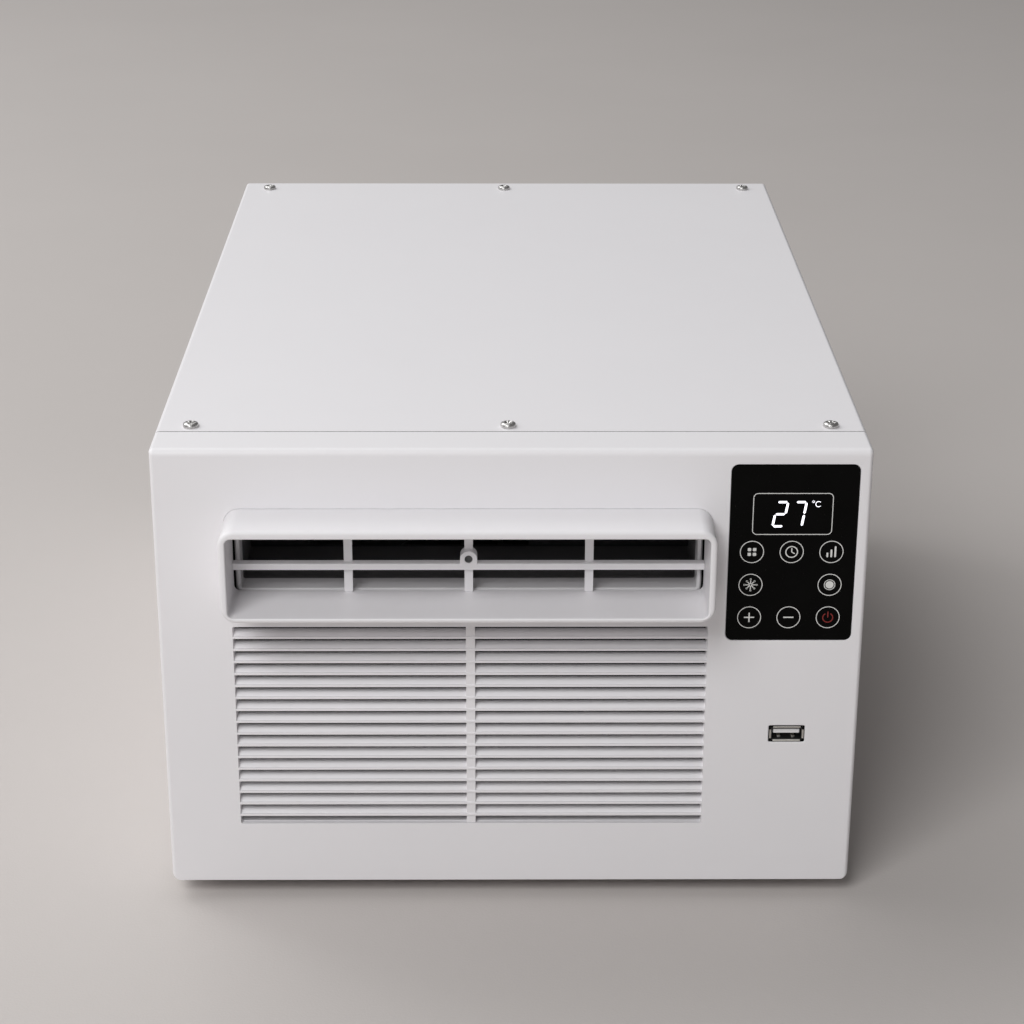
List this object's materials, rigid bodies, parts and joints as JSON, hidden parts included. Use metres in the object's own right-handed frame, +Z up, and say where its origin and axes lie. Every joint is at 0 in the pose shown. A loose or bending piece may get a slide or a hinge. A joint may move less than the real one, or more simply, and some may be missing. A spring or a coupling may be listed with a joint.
{
  "type": "window air conditioner",
  "caption": "Compact white window air conditioner with a raised outlet hood, louvred intake, touch panel and USB socket.",
  "frame": {"origin": "on the surface that the feet stand on, under the middle of the whole object", "axes": "+Z up; the front faces -Y; +X is the control panel's side"},
  "size_m": [0.294, 0.456, 0.207],
  "materials": {
    "white_moulding": "satin white ABS moulding",
    "white_sheet": "white powder-coated steel sheet",
    "black_glass": "gloss black touch panel with white marks",
    "zinc_steel": "zinc-plated steel",
    "nickel_shell": "nickel-plated socket shell",
    "rubber": "black rubber",
    "grey_moulding": "light grey inner moulding",
    "foam": "dark grey moulded bead foam",
    "galvanised": "galvanised steel sheet",
    "aluminium_fins": "thin aluminium fins",
    "copper": "bare copper tube",
    "black_shell": "black painted steel can",
    "black_moulding": "black moulded plastic",
    "board_green": "circuit board",
    "mesh_black": "nylon filter mesh"
  },
  "bodies": {
    "cabinet": {"front_panel": "white_moulding", "outlet_hood": "white_moulding", "outlet_grid": "white_moulding", "outlet_duct": "grey_moulding", "intake_grille": "white_moulding", "filter_frame": "black_moulding", "filter_mesh": "mesh_black", "casing_wrap": "white_sheet", "rear_panel": "white_sheet", "base_pan": "white_sheet", "rubber_feet": "rubber", "casing_screws": "zinc_steel", "drain_spout": "black_moulding", "cord_gland": "rubber", "touch_panel": "black_glass", "display_board": "board_green", "display_module": "black_moulding", "touch_pads": "rubber", "usb_shell": "nickel_shell", "usb_tongue": "white_moulding", "usb_board": "board_green", "evaporator_fins": "aluminium_fins", "evaporator_tubes": "copper", "evaporator_plates": "galvanised", "drain_tray": "grey_moulding", "orifice_plate": "black_moulding", "scroll_housing": "foam", "bulkhead": "galvanised", "motor_case": "galvanised", "motor_bearings": "copper", "motor_bracket": "galvanised", "motor_bolts": "zinc_steel", "fan_shroud": "black_moulding", "condenser_fins": "aluminium_fins", "condenser_tubes": "copper", "condenser_plates": "galvanised", "compressor": "black_shell", "compressor_grommets": "rubber", "compressor_studs": "zinc_steel", "accumulator": "black_shell", "discharge_pipe": "copper", "suction_pipe": "copper", "suction_elbow": "copper", "liquid_pipe": "copper", "filter_drier": "copper", "capillary_tube": "copper", "control_box": "black_moulding", "main_board": "board_green", "relays": "black_moulding", "transformer": "galvanised", "run_capacitor": "grey_moulding"},
    "rotor": {"drive_shaft": "zinc_steel", "blower_wheel": "black_moulding", "condenser_fan": "black_moulding"}
  },
  "joints": [
    {"name": "fan_spin", "type": "hinge", "parent": "cabinet", "child": "rotor", "pos_m": [-0.017, 0, 0.084], "axis": [0, 1, 0], "continuous": true}
  ]
}
